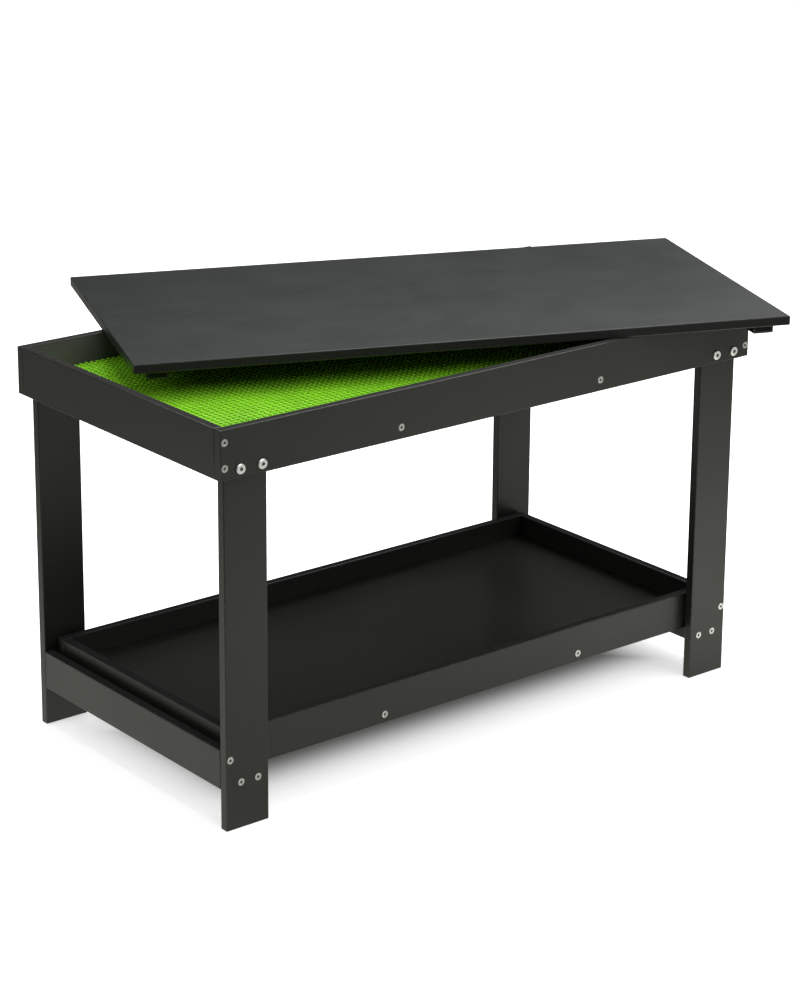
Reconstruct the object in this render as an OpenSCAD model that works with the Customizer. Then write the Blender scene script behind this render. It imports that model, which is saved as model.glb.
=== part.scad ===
/* [Play surface] */
// Studs along each side of a square plate, four plates long and two plates wide
plate_studs = 25; // [18:1:27]
// Distance from one stud to the next
stud_pitch = 8; // [7:0.25:9]
// Diameter of a stud
stud_d = 4.9; // [4:0.1:5.4]
// Height of a stud above its plate
stud_h = 1.8; // [1:0.1:2.5]
// Thickness of the plates under their studs
plate_t = 1.5; // [1:0.1:2.5]
// Gap round each studded plate
plate_play = 0.05; // [0.02:0.01:0.3]

/* [Table] */
// Height of the rim above the floor
table_h = 490; // [400:5:600]
// Thickness of the boards
board_t = 12; // [10:0.5:16]
// Height of the boards round the play surface
apron_h = 60; // [56:1:90]
// Depth of the play surface below the rim
well_depth = 35; // [28:1:37]
// Thickness of the sheets that close the table and the shelf from below
sheet_t = 3; // [2:0.5:5]
// Gap round those sheets
sheet_play = 0.2; // [0.1:0.05:0.5]
// Width of a leg
leg_w = 60; // [50:1:80]
// Width that is eased off the boards' edges
edge_ease = 0.9; // [0.4:0.1:2]
// Distance of the floor battens from the table's middle
batten_x = 156; // [100:2:200]
// Width of the floor battens
batten_w = 40; // [25:1:60]

/* [Shelf] */
// Height of the shelf's frame above the floor
frame_z = 49; // [20:1:120]
// Height of the end rails between the legs
end_rail_h = 49; // [40:1:70]
// Width of the cross boards that carry the shelf
cross_w = 42; // [36:1:60]
// Thickness of the cross boards
cross_t = 16.5; // [12:0.5:20]
// Height of the boards round the shelf
tray_h = 49; // [44:1:80]
// Depth of the shelf's floor below its rim
tray_depth = 29; // [15:1:29]
// Gap between the shelf and the legs in front of it and behind it
tray_gap = 3.5; // [1:0.5:8]
// Gap between the shelf and the end rails
tray_end_gap = 5; // [0.5:0.5:8]

/* [Fasteners] */
// Diameter of a screw's shank
screw_d = 4; // [3:0.5:5]
// Diameter of a screw's countersunk head
screw_head_d = 8.8; // [7:0.2:10]
// Length of the screws through a board
screw_len = 38; // [30:1:50]
// Distance of a corner's screws from the board's upper and lower edges
screw_edge = 15; // [12:1:18]
// Distance of the end rails' screws below their upper edge
end_screw_drop = 10; // [8:1:20]
// Distance between a cross board's two screws
cross_screw_pitch = 24; // [16:1:28]
// Length of the screws that hold the cleats to the lid
cleat_screw_len = 20; // [16:1:21]
// Distance between the two screws up into each end of the shelf
tray_screw_pitch = 200; // [120:10:240]
// Size of the hexagon sockets of the screws, across their corners
screw_socket = 3.4; // [2.5:0.1:4]
// Diameter of a leg bolt's shank
bolt_d = 6; // [5:0.5:8]
// Diameter of a leg bolt's flat head
bolt_head_d = 12.2; // [10:0.2:14]
// Height of a leg bolt's head
bolt_head_h = 2.2; // [1.5:0.1:3]
// Size of the hexagon sockets of the bolts, across their corners
bolt_socket = 4.8; // [3.5:0.1:5.5]
// Distance between a leg's two bolts
bolt_pitch = 30; // [22:1:34]
// Height of the leg bolts above the long boards' lower edge
bolt_up = 11; // [9:1:13]
// Diameter of the threaded inserts in the legs
insert_d = 9; // [8.5:0.1:10]
// Length of the threaded inserts
insert_len = 10; // [8:0.5:10]
// Clearance round every screw, bolt and insert
fit_gap = 0.1; // [0.05:0.01:0.2]

/* [Lid] */
// Reach of the lid past each end of the table
lid_over_end = 4; // [0:0.5:10]
// Reach of the lid past each side of the table, less than nothing where it stops short
lid_over_side = -2; // [-4:0.5:6]
// Side of a cleat under the lid's corners
cleat_w = 28; // [20:1:36]
// Width that is eased off the cleats' edges
cleat_ease = 2; // [0.8:0.1:3]
// Play of the cleats inside the rim when the lid is on straight
lid_play = 1; // [0.5:0.1:2]
// Turn of the lid as it lies
lid_turn = -22.3; // [-26:0.1:-18]
// Shift of the lid's middle along the table
lid_shift_x = 96; // [80:1:110]
// Shift of the lid's middle across the table
lid_shift_y = 59.5; // [50:0.5:70]
// Gap under the lying lid
lid_gap = 0.3; // [0.2:0.05:0.5]

/* [Hidden] */

// Sides named by the sign of their direction
LEFT = -1;
RIGHT = 1;
FRONT = -1;
REAR = 1;
BOTH = [-1, 1];

// Small overlap of a cut past the face that it opens
past = 0.5;
// Fineness of the round forms
round_fn = 32;
stud_fn = 20;

// Colours of the finishes
black_paint = [0.11, 0.11, 0.11];
stud_green = [0.40, 0.78, 0.12];
zinc = [0.78, 0.79, 0.80];

// The space inside the rim is as large as its plates need
plates_long = 4;
plates_wide = 2;
plate_side = plate_studs * stud_pitch;
well_l = plates_long * plate_side;
well_w = plates_wide * plate_side;
table_l = well_l + 2 * board_t;
table_w = well_w + 2 * board_t;

// Heights of the table's layers, from the rim down
plate_z = table_h - well_depth - plate_t;
panel_z = plate_z - sheet_t;
apron_z = table_h - apron_h;
play_batten_z = panel_z - board_t;

// Legs stand inside the corners, under the play panel
leg_mid_x = well_l / 2 - leg_w / 2;
leg_out_y = well_w / 2;
leg_in_y = leg_out_y - board_t;
bolt_z = apron_z + bolt_up;

// The shelf's frame stands between the legs
end_rail_x = well_l / 2 - board_t;
cross_x = end_rail_x - cross_w;
end_rail_z1 = frame_z + end_rail_h;

// The shelf is a tray of its own that stands on the cross boards
tray_z = frame_z + cross_t;
tray_top = tray_z + tray_h;
tray_l = 2 * (end_rail_x - tray_end_gap);
tray_w = 2 * (leg_in_y - tray_gap);
shelf_panel_z = tray_top - tray_depth - sheet_t;
shelf_batten_z = shelf_panel_z - board_t;

// Screws and bolts reach these depths
screw_cone = (screw_head_d - screw_d) / 2;
bolt_len = board_t + insert_len;

// The lid as it would lie when it is on straight
lid_l = table_l + 2 * lid_over_end;
lid_w = table_w + 2 * lid_over_side;
lid_z = table_h + lid_gap;
cleat_x = well_l / 2 - lid_play - cleat_w / 2;
cleat_y = well_w / 2 - lid_play - cleat_w / 2;

// Point of the lid, from its own middle to where it lies about the table's middle
function lying_point(x, y) = [
    lid_shift_x + x * cos(lid_turn) - y * sin(lid_turn),
    lid_shift_y + x * sin(lid_turn) + y * cos(lid_turn)
];

// Middle of the space that the table and the lying lid take up, which is the origin
lid_corners = [
    for (sx = BOTH, sy = BOTH, cut = [[edge_ease, 0], [0, edge_ease]])
        lying_point(sx * (lid_l / 2 - cut.x), sy * (lid_w / 2 - cut.y))
];
corner_xs = [for (corner = lid_corners) corner.x];
corner_ys = [for (corner = lid_corners) corner.y];
middle_x = (min(-table_l / 2, min(corner_xs)) + max(table_l / 2, max(corner_xs))) / 2;
middle_y = (min(-table_w / 2, min(corner_ys)) + max(table_w / 2, max(corner_ys))) / 2;

// Moves the table from its own middle to its place about the origin
module placed() {
    translate([-middle_x, -middle_y, 0]) children();
}

// Rectangle with its corners cut off, about its middle
module cut_rect(a, b, cut) {
    x = a / 2;
    y = b / 2;
    polygon([
        [x, y - cut], [x - cut, y], [cut - x, y], [-x, y - cut],
        [-x, cut - y], [cut - x, -y], [x - cut, -y], [x, cut - y]
    ]);
}

// Board with all its edges eased, between two opposite corners
module board(low, high, ease = edge_ease) {
    size = high - low;
    translate((low + high) / 2) intersection() {
        linear_extrude(size.z, center = true) cut_rect(size.x, size.y, ease);
        rotate([90, 0, 0]) linear_extrude(size.y, center = true) cut_rect(size.x, size.z, ease);
        rotate([90, 0, 90]) linear_extrude(size.x, center = true) cut_rect(size.y, size.z, ease);
    }
}

// Plain sheet between two opposite corners
module sheet(low, high) {
    translate(low) cube(high - low);
}

// Turns a fastener that points up into one driven inwards through a front or rear face
module driven(side, x, y, z) {
    translate([x, side * y, z]) rotate([side * 90, 0, 0]) children();
}

// Countersunk wood screw, its head's flat at the origin and its point up
module screw(len) {
    difference() {
        rotate_extrude($fn = round_fn) polygon([
            [0, 0], [screw_head_d / 2, 0], [screw_d / 2, screw_cone],
            [screw_d / 2, len - screw_d], [0, len]
        ]);
        translate([0, 0, -past]) cylinder(d = screw_socket, h = screw_cone + past, $fn = 6);
    }
}

// Hole for such a screw, with its countersink
module screw_hole(len) {
    r = screw_d / 2 + fit_gap;
    rotate_extrude($fn = round_fn) polygon([
        [0, -past], [screw_head_d / 2 + fit_gap, -past], [screw_head_d / 2 + fit_gap, 0],
        [r, screw_cone], [r, len + fit_gap], [0, len + fit_gap]
    ]);
}

// Leg bolt with a flat round head, the head's seat at the origin and its shank up
module leg_bolt() {
    rim = bolt_head_h / 3;
    difference() {
        rotate_extrude($fn = round_fn) polygon([
            [0, -bolt_head_h], [bolt_head_d / 2 - rim, -bolt_head_h],
            [bolt_head_d / 2, -bolt_head_h + rim], [bolt_head_d / 2, 0],
            [bolt_d / 2, 0], [bolt_d / 2, bolt_len], [0, bolt_len]
        ]);
        translate([0, 0, -bolt_head_h - past])
            cylinder(d = bolt_socket, h = bolt_head_h + past, $fn = 6);
    }
}

// Threaded insert sunk in a leg's outer face, its mouth at the origin
module leg_insert() {
    difference() {
        cylinder(d = insert_d, h = insert_len, $fn = round_fn);
        translate([0, 0, -past])
            cylinder(d = bolt_d + 2 * fit_gap, h = insert_len + 2 * past, $fn = round_fn);
    }
}

// The places of the fasteners, each used for the pieces and for their holes

// Corner screws of the table: through the long boards into the ends of the short ones
module at_apron_corners(side, ends = BOTH) {
    for (end = ends, z = [apron_z + screw_edge, table_h - screw_edge])
        driven(side, end * (table_l - board_t) / 2, table_w / 2, z) children();
}

// Screws through the long boards into the battens under the play panel
module at_play_battens(side, ends = BOTH) {
    for (end = ends)
        driven(side, end * batten_x, table_w / 2, play_batten_z + board_t / 2) children();
}

// Leg bolts, from the given distance behind the long boards' outer faces
module at_leg_bolts(side, depth = 0, ends = BOTH) {
    for (end = ends, step = BOTH)
        driven(side, end * leg_mid_x + step * bolt_pitch / 2, table_w / 2 - depth, bolt_z) children();
}

// Screws through the legs into the ends of the end rails
module at_end_rails(side, ends = BOTH) {
    for (end = ends)
        driven(side, end * (end_rail_x + board_t / 2), leg_out_y, end_rail_z1 - end_screw_drop)
            children();
}

// Screws through the legs into the ends of the cross boards
module at_cross_boards(side, ends = BOTH) {
    for (end = ends, step = BOTH)
        driven(side, end * (cross_x + cross_w / 2) + step * cross_screw_pitch / 2, leg_out_y,
               frame_z + cross_t / 2)
            children();
}

// Corner screws of the shelf's tray
module at_tray_corners(side, ends = BOTH) {
    for (end = ends, z = [tray_z + screw_edge, tray_top - screw_edge])
        driven(side, end * (tray_l - board_t) / 2, tray_w / 2, z) children();
}

// Screws through the shelf's long rails into the battens under its panel
module at_tray_battens(side, ends = BOTH) {
    for (end = ends)
        driven(side, end * batten_x, tray_w / 2, shelf_batten_z + board_t / 2) children();
}

// Screws up through the cross boards into the shelf's ends
module at_tray_fixings(ends = BOTH) {
    for (end = ends, step = BOTH)
        translate([end * (tray_l - board_t) / 2, step * tray_screw_pitch / 2, frame_z]) children();
}

// Table top

module long_apron(side) {
    difference() {
        board([-table_l / 2, min(side * table_w / 2, side * well_w / 2), apron_z],
              [table_l / 2, max(side * table_w / 2, side * well_w / 2), table_h]);
        at_apron_corners(side) screw_hole(screw_len);
        at_play_battens(side) screw_hole(screw_len);
        at_leg_bolts(side) translate([0, 0, -past])
            cylinder(d = bolt_d + 2 * fit_gap, h = board_t + 2 * past, $fn = round_fn);
    }
}

module end_apron(end) {
    difference() {
        board([min(end * table_l / 2, end * well_l / 2), -well_w / 2, apron_z],
              [max(end * table_l / 2, end * well_l / 2), well_w / 2, table_h]);
        for (side = BOTH) at_apron_corners(side, [end]) screw_hole(screw_len);
    }
}

module front_apron() {
    color(black_paint) placed() long_apron(FRONT);
}

module rear_apron() {
    color(black_paint) placed() long_apron(REAR);
}

module left_apron() {
    color(black_paint) placed() end_apron(LEFT);
}

module right_apron() {
    color(black_paint) placed() end_apron(RIGHT);
}

module play_panel() {
    half = [well_l / 2 - sheet_play, well_w / 2 - sheet_play, 0];
    color(black_paint) placed()
        sheet([-half.x, -half.y, panel_z], [half.x, half.y, plate_z]);
}

// Square plate in its row, FRONT or REAR, and its place there, counted from the left end
module stud_plate(row, place) {
    half = plate_side / 2 - plate_play;
    color(stud_green) placed()
        translate([(place - (plates_long + 1) / 2) * plate_side, row * plate_side / 2, plate_z]) {
            sheet([-half, -half, 0], [half, half, plate_t]);
            translate([0, 0, plate_t])
                for (i = [1 : plate_studs], j = [1 : plate_studs])
                    translate([i - (plate_studs + 1) / 2, j - (plate_studs + 1) / 2, 0] * stud_pitch)
                        cylinder(d = stud_d, h = stud_h, $fn = stud_fn);
        }
}

module stud_plate_front_1() {
    stud_plate(FRONT, 1);
}

module stud_plate_front_2() {
    stud_plate(FRONT, 2);
}

module stud_plate_front_3() {
    stud_plate(FRONT, 3);
}

module stud_plate_front_4() {
    stud_plate(FRONT, 4);
}

module stud_plate_rear_1() {
    stud_plate(REAR, 1);
}

module stud_plate_rear_2() {
    stud_plate(REAR, 2);
}

module stud_plate_rear_3() {
    stud_plate(REAR, 3);
}

module stud_plate_rear_4() {
    stud_plate(REAR, 4);
}

module play_batten(end) {
    difference() {
        board([end * batten_x - batten_w / 2, -well_w / 2, play_batten_z],
              [end * batten_x + batten_w / 2, well_w / 2, panel_z]);
        for (side = BOTH) at_play_battens(side, [end]) screw_hole(screw_len);
    }
}

module play_batten_left() {
    color(black_paint) placed() play_batten(LEFT);
}

module play_batten_right() {
    color(black_paint) placed() play_batten(RIGHT);
}

// Legs

module leg(end, side) {
    difference() {
        board([end * leg_mid_x - leg_w / 2, min(side * leg_in_y, side * leg_out_y), 0],
              [end * leg_mid_x + leg_w / 2, max(side * leg_in_y, side * leg_out_y), panel_z]);
        at_leg_bolts(side, board_t, [end]) translate([0, 0, -past])
            cylinder(d = insert_d + 2 * fit_gap, h = insert_len + past, $fn = round_fn);
        at_end_rails(side, [end]) screw_hole(screw_len);
        at_cross_boards(side, [end]) screw_hole(screw_len);
    }
}

module leg_front_left() {
    color(black_paint) placed() leg(LEFT, FRONT);
}

module leg_front_right() {
    color(black_paint) placed() leg(RIGHT, FRONT);
}

module leg_rear_left() {
    color(black_paint) placed() leg(LEFT, REAR);
}

module leg_rear_right() {
    color(black_paint) placed() leg(RIGHT, REAR);
}

// Shelf frame

module end_rail(end) {
    difference() {
        board([min(end * end_rail_x, end * well_l / 2), -leg_in_y, frame_z],
              [max(end * end_rail_x, end * well_l / 2), leg_in_y, end_rail_z1]);
        for (side = BOTH) at_end_rails(side, [end]) screw_hole(screw_len);
    }
}

module end_rail_left() {
    color(black_paint) placed() end_rail(LEFT);
}

module end_rail_right() {
    color(black_paint) placed() end_rail(RIGHT);
}

module cross_board(end) {
    difference() {
        board([min(end * cross_x, end * end_rail_x), -leg_in_y, frame_z],
              [max(end * cross_x, end * end_rail_x), leg_in_y, tray_z]);
        for (side = BOTH) at_cross_boards(side, [end]) screw_hole(screw_len);
        at_tray_fixings([end]) screw_hole(screw_len);
    }
}

module cross_board_left() {
    color(black_paint) placed() cross_board(LEFT);
}

module cross_board_right() {
    color(black_paint) placed() cross_board(RIGHT);
}

// Shelf tray

module shelf_rail(side) {
    inner_y = tray_w / 2 - board_t;
    difference() {
        board([-tray_l / 2, min(side * inner_y, side * tray_w / 2), tray_z],
              [tray_l / 2, max(side * inner_y, side * tray_w / 2), tray_top]);
        at_tray_corners(side) screw_hole(screw_len);
        at_tray_battens(side) screw_hole(screw_len);
    }
}

module shelf_rail_front() {
    color(black_paint) placed() shelf_rail(FRONT);
}

module shelf_rail_rear() {
    color(black_paint) placed() shelf_rail(REAR);
}

module shelf_end(end) {
    inner_x = tray_l / 2 - board_t;
    inner_y = tray_w / 2 - board_t;
    difference() {
        board([min(end * inner_x, end * tray_l / 2), -inner_y, tray_z],
              [max(end * inner_x, end * tray_l / 2), inner_y, tray_top]);
        for (side = BOTH) at_tray_corners(side, [end]) screw_hole(screw_len);
        at_tray_fixings([end]) screw_hole(screw_len);
    }
}

module shelf_end_left() {
    color(black_paint) placed() shelf_end(LEFT);
}

module shelf_end_right() {
    color(black_paint) placed() shelf_end(RIGHT);
}

module shelf_panel() {
    half = [tray_l / 2 - board_t - sheet_play, tray_w / 2 - board_t - sheet_play, 0];
    color(black_paint) placed()
        sheet([-half.x, -half.y, shelf_panel_z], [half.x, half.y, shelf_panel_z + sheet_t]);
}

module shelf_batten(end) {
    inner_y = tray_w / 2 - board_t;
    difference() {
        board([end * batten_x - batten_w / 2, -inner_y, shelf_batten_z],
              [end * batten_x + batten_w / 2, inner_y, shelf_panel_z]);
        for (side = BOTH) at_tray_battens(side, [end]) screw_hole(screw_len);
    }
}

module shelf_batten_left() {
    color(black_paint) placed() shelf_batten(LEFT);
}

module shelf_batten_right() {
    color(black_paint) placed() shelf_batten(RIGHT);
}

// Fasteners

module apron_corner_screws() {
    color(zinc) placed() for (side = BOTH) at_apron_corners(side) screw(screw_len);
}

module play_batten_screws() {
    color(zinc) placed() for (side = BOTH) at_play_battens(side) screw(screw_len);
}

module leg_bolts() {
    color(zinc) placed() for (side = BOTH) at_leg_bolts(side) leg_bolt();
}

module leg_inserts() {
    color(zinc) placed() for (side = BOTH) at_leg_bolts(side, board_t) leg_insert();
}

module end_rail_screws() {
    color(zinc) placed() for (side = BOTH) at_end_rails(side) screw(screw_len);
}

module cross_board_screws() {
    color(zinc) placed() for (side = BOTH) at_cross_boards(side) screw(screw_len);
}

module shelf_corner_screws() {
    color(zinc) placed() for (side = BOTH) at_tray_corners(side) screw(screw_len);
}

module shelf_batten_screws() {
    color(zinc) placed() for (side = BOTH) at_tray_battens(side) screw(screw_len);
}

module shelf_fixing_screws() {
    color(zinc) placed() at_tray_fixings() screw(screw_len);
}

// Lid, lying askew on the rim

// Moves the lid from the table's middle to where it lies
module lying() {
    placed() translate([lid_shift_x, lid_shift_y, lid_z]) rotate([0, 0, lid_turn]) children();
}

// Screws up through the cleats into the lid
module at_cleat(end, side) {
    translate([end * cleat_x, side * cleat_y, -board_t]) children();
}

module cleat(end, side) {
    color(black_paint) lying() difference() {
        translate([end * cleat_x, side * cleat_y, 0])
            board([-cleat_w / 2, -cleat_w / 2, -board_t], [cleat_w / 2, cleat_w / 2, 0], cleat_ease);
        at_cleat(end, side) screw_hole(cleat_screw_len);
    }
}

module lid_board() {
    color(black_paint) lying() difference() {
        board([-lid_l / 2, -lid_w / 2, 0], [lid_l / 2, lid_w / 2, board_t]);
        for (end = BOTH, side = BOTH) at_cleat(end, side) screw_hole(cleat_screw_len);
    }
}

module cleat_front_left() {
    cleat(LEFT, FRONT);
}

module cleat_front_right() {
    cleat(RIGHT, FRONT);
}

module cleat_rear_left() {
    cleat(LEFT, REAR);
}

module cleat_rear_right() {
    cleat(RIGHT, REAR);
}

module cleat_screws() {
    color(zinc) lying() for (end = BOTH, side = BOTH)
        at_cleat(end, side) screw(cleat_screw_len);
}

front_apron();
rear_apron();
left_apron();
right_apron();
play_panel();
stud_plate_front_1();
stud_plate_front_2();
stud_plate_front_3();
stud_plate_front_4();
stud_plate_rear_1();
stud_plate_rear_2();
stud_plate_rear_3();
stud_plate_rear_4();
play_batten_left();
play_batten_right();
leg_front_left();
leg_front_right();
leg_rear_left();
leg_rear_right();
end_rail_left();
end_rail_right();
cross_board_left();
cross_board_right();
shelf_rail_front();
shelf_rail_rear();
shelf_end_left();
shelf_end_right();
shelf_panel();
shelf_batten_left();
shelf_batten_right();
apron_corner_screws();
play_batten_screws();
leg_bolts();
leg_inserts();
end_rail_screws();
cross_board_screws();
shelf_corner_screws();
shelf_batten_screws();
shelf_fixing_screws();
lid_board();
cleat_front_left();
cleat_front_right();
cleat_rear_left();
cleat_rear_right();
cleat_screws();
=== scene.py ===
"""Dresses the activity table: painted boards, studded plates, plated fasteners, and a plain studio."""

import logging
import math
from dataclasses import dataclass
from enum import Enum
from typing import Protocol

import bmesh
import bpy
from mathutils import Matrix, Quaternion, Vector


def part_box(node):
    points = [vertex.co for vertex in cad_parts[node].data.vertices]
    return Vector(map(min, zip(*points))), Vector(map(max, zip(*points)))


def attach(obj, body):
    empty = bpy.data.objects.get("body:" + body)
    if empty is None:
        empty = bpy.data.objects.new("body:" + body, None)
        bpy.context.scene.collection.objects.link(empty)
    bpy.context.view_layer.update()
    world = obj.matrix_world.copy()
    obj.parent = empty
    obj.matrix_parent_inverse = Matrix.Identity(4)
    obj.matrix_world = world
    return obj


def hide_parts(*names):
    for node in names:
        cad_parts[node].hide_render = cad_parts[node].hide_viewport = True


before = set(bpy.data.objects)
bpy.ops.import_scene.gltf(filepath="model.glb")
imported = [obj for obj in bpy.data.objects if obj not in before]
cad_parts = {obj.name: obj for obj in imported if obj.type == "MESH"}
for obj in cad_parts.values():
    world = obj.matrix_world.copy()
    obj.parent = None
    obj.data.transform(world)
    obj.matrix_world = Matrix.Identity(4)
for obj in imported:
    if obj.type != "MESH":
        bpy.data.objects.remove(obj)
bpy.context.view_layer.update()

log = logging.getLogger("activity_table")

MM = 0.001

# The two rows and the two ends of the table, as the nodes name them
ROWS = ("front", "rear")
ENDS = ("left", "right")

# Corners closer than this become one, and faces that turn less than this become one
MERGE_DISTANCE = 0.001 * MM
FLAT_ANGLE = math.radians(1.0)

# A face looks along an axis if its normal has at least this share of it
ALONG_AXIS = math.cos(math.radians(4.0))

# A face looks sideways if its normal rises less than this
SIDEWAYS_RISE = 0.5

# A face of a stud is level, and shaded flat, if its normal rises at least this much
LEVEL_RISE = 0.99

# Faces narrower than this are the narrow sides of boards, which are 12 mm thick
NARROW_SIDE = 13.0 * MM

# Inputs of a Math or Vector Math node
FIRST = 0
SECOND = 1

# Sockets of a Mix node that blends colours
MIX_FACTOR = 0
MIX_FIRST = 6
MIX_SECOND = 7
MIX_RESULT = 2

# Sockets of a Mix node that blends numbers
NUMBER_FACTOR = 0
NUMBER_FIRST = 2
NUMBER_SECOND = 3
NUMBER_RESULT = 0

# Parts of a noise's range that a finish stretches to the whole
NARROW_SPAN = (0.40, 0.60)
MIDDLE_SPAN = (0.35, 0.65)
WIDE_SPAN = (0.30, 0.70)
HIGH_SPAN = (0.48, 0.66)

Colour = tuple[float, float, float]
Sizes = tuple[float, float, float]
Span = tuple[float, float]

WHITE: Colour = (1.0, 1.0, 1.0)


class Body(Enum):
    """The two bodies that move apart."""

    TABLE = "table"
    LID = "lid"


class Slot(Enum):
    """The record's material slots."""

    PAINT = "black_paint"
    PLASTIC = "stud_plastic"
    ZINC = "zinc"


class Grain(Enum):
    """Way that a board's grain runs, as the size of one streak along X, Y and Z in metres."""

    LENGTHWAYS = (0.11, 0.0013, 0.0013)
    CROSSWAYS = (0.0013, 0.11, 0.0013)
    UPRIGHT = (0.0013, 0.0013, 0.11)


class Bench:
    """One material's node tree, with short calls for the nodes that the finishes share."""

    def __init__(self, name: str) -> None:
        """Starts a material with one principled shader.

        Args:
            name: Name of the material.
        """
        self.material = bpy.data.materials.new(name)
        self.material.use_nodes = True
        self.tree = self.material.node_tree
        self.tree.nodes.clear()
        self.shader = self.add("ShaderNodeBsdfPrincipled")
        output = self.add("ShaderNodeOutputMaterial")
        self.join(self.shader.outputs["BSDF"], output.inputs["Surface"])

    def add(self, kind: str, **settings: object) -> bpy.types.Node:
        """Adds a node.

        Args:
            kind: Type of the node.
            settings: Properties of the node by name.

        Returns:
            The new node.
        """
        node = self.tree.nodes.new(kind)
        for key, value in settings.items():
            setattr(node, key, value)
        return node

    def join(self, source: bpy.types.NodeSocket, target: bpy.types.NodeSocket) -> None:
        """Links an output to an input."""
        self.tree.links.new(source, target)

    def feed(self, target: bpy.types.NodeSocket, value: object) -> None:
        """Gives an input a link or a fixed value.

        Args:
            target: The input.
            value: An output socket, a number or a colour.
        """
        if isinstance(value, bpy.types.NodeSocket):
            self.join(value, target)
        elif isinstance(value, tuple):
            target.default_value = (*value, 1.0)
        else:
            target.default_value = value

    def place(self, sizes: Sizes, turn: float = 0.0) -> bpy.types.NodeSocket:
        """Object coordinates, turned about the vertical and measured in pattern sizes.

        Args:
            sizes: Size of the pattern along X, Y and Z in metres.
            turn: Turn of the pattern about the vertical in radians.

        Returns:
            The vector for a texture.
        """
        coordinates = self.add("ShaderNodeTexCoord")
        mapping = self.add("ShaderNodeMapping", vector_type="TEXTURE")
        mapping.inputs["Rotation"].default_value = (0.0, 0.0, turn)
        mapping.inputs["Scale"].default_value = sizes
        self.join(coordinates.outputs["Object"], mapping.inputs["Vector"])
        return mapping.outputs["Vector"]

    def noise(
        self, vector: bpy.types.NodeSocket, detail: float, rough: float = 0.5
    ) -> bpy.types.NodeSocket:
        """Noise of about one blot for each pattern size.

        Args:
            vector: Where to read it.
            detail: Number of finer layers.
            rough: Share of the finer layers.

        Returns:
            A value from 0 to 1.
        """
        texture = self.add("ShaderNodeTexNoise")
        texture.inputs["Scale"].default_value = 1.0
        texture.inputs["Detail"].default_value = detail
        texture.inputs["Roughness"].default_value = rough
        self.join(vector, texture.inputs["Vector"])
        return texture.outputs["Fac"]

    def blots(self, size: float, detail: float, rough: float = 0.5) -> bpy.types.NodeSocket:
        """Noise of one size along all three axes.

        Args:
            size: Size of a blot in metres.
            detail: Number of finer layers.
            rough: Share of the finer layers.

        Returns:
            A value from 0 to 1.
        """
        return self.noise(self.place((size, size, size)), detail, rough)

    def remap(
        self, value: bpy.types.NodeSocket, span: Span, to: Span = (0.0, 1.0)
    ) -> bpy.types.NodeSocket:
        """Stretches a value from one span to another and clamps it there.

        Args:
            value: The value.
            span: The part of its range that is used.
            to: What that part becomes.

        Returns:
            The new value.
        """
        node = self.add("ShaderNodeMapRange", interpolation_type="SMOOTHSTEP")
        self.join(value, node.inputs["Value"])
        node.inputs["From Min"].default_value, node.inputs["From Max"].default_value = span
        node.inputs["To Min"].default_value, node.inputs["To Max"].default_value = to
        return node.outputs["Result"]

    def calculate(self, operation: str, first: object, second: object) -> bpy.types.NodeSocket:
        """Works out one sum, product or the like.

        Args:
            operation: What is done with the two values.
            first: A number or a link.
            second: A number or a link.

        Returns:
            The result.
        """
        node = self.add("ShaderNodeMath", operation=operation)
        self.feed(node.inputs[FIRST], first)
        self.feed(node.inputs[SECOND], second)
        return node.outputs["Value"]

    def blend(
        self, factor: bpy.types.NodeSocket, first: object, second: object
    ) -> bpy.types.NodeSocket:
        """Blends two colours.

        Args:
            factor: Share of the second colour.
            first: Colour or link at 0.
            second: Colour or link at 1.

        Returns:
            The blended colour.
        """
        node = self.add("ShaderNodeMix", data_type="RGBA")
        self.join(factor, node.inputs[MIX_FACTOR])
        self.feed(node.inputs[MIX_FIRST], first)
        self.feed(node.inputs[MIX_SECOND], second)
        return node.outputs[MIX_RESULT]

    def relief(
        self, height: bpy.types.NodeSocket, depth: float, under: bpy.types.NodeSocket | None = None
    ) -> bpy.types.NodeSocket:
        """Bumps of a real depth.

        Args:
            height: Height from 0 to 1.
            depth: Depth of the bumps in metres.
            under: Bumps below these.

        Returns:
            The normal for a shader.
        """
        node = self.add("ShaderNodeBump")
        node.inputs["Strength"].default_value = 1.0
        node.inputs["Distance"].default_value = depth
        self.join(height, node.inputs["Height"])
        if under is not None:
            self.join(under, node.inputs["Normal"])
        return node.outputs["Normal"]

    def attribute(self, name: str) -> bpy.types.NodeSocket:
        """Value of a mesh attribute."""
        return self.add("ShaderNodeAttribute", attribute_name=name).outputs["Fac"]


class Finish(Protocol):
    """Anything that makes a material for one of the record's slots.

    Attributes:
        name: Name of the material.
        slot: The record's slot.
    """

    name: str
    slot: Slot

    def material(self) -> bpy.types.Material:
        """Returns the finished material."""


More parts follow.
